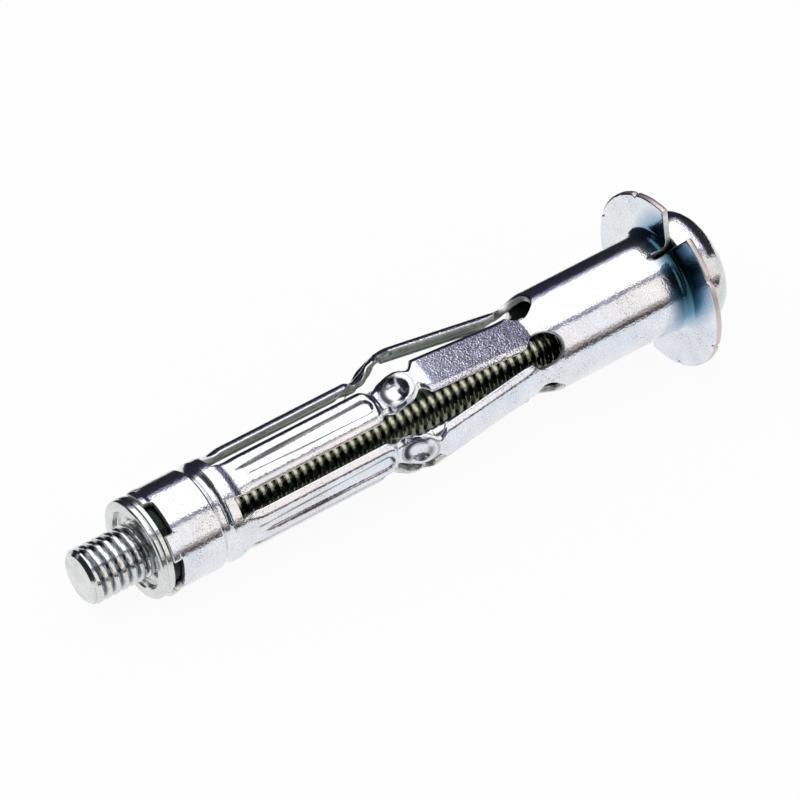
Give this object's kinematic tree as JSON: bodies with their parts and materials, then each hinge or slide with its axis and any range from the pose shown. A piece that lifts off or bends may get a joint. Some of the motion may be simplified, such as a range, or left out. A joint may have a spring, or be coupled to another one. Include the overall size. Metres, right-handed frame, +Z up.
{
  "type": "metal hollow wall anchor",
  "caption": "Expanding wall anchor of formed steel with bulged legs, a threaded nut at the front, a slit flange and a pan head machine screw through it.",
  "frame": {"origin": "centre of the bounding box in X and Y, at the height of the table that the anchor lies on", "axes": "+X runs from the screw's tip to its head, +Z is up from the table, and +Y is to the left seen from the tip. The anchor's axis lies in the XZ plane and rises 3.54 degrees towards the head, because the flange is wider than the collar. One slit of the flange is uppermost."},
  "size_m": [0.0626, 0.0158, 0.0156],
  "materials": {
    "sleeve_steel": "bright zinc plate, smooth",
    "nut_steel": "zinc plate, slightly dull",
    "screw_steel": "zinc plate on a rolled thread"
  },
  "bodies": {
    "anchor_body": {"sleeve": "sleeve_steel", "nut": "nut_steel"},
    "screw_body": {"screw": "screw_steel"}
  },
  "joints": [
    {"name": "screw_travel", "type": "slide", "parent": "anchor_body", "child": "screw_body", "axis": [0.9981, 0, 0.0618], "range_m": [0, 0.058]}
  ]
}
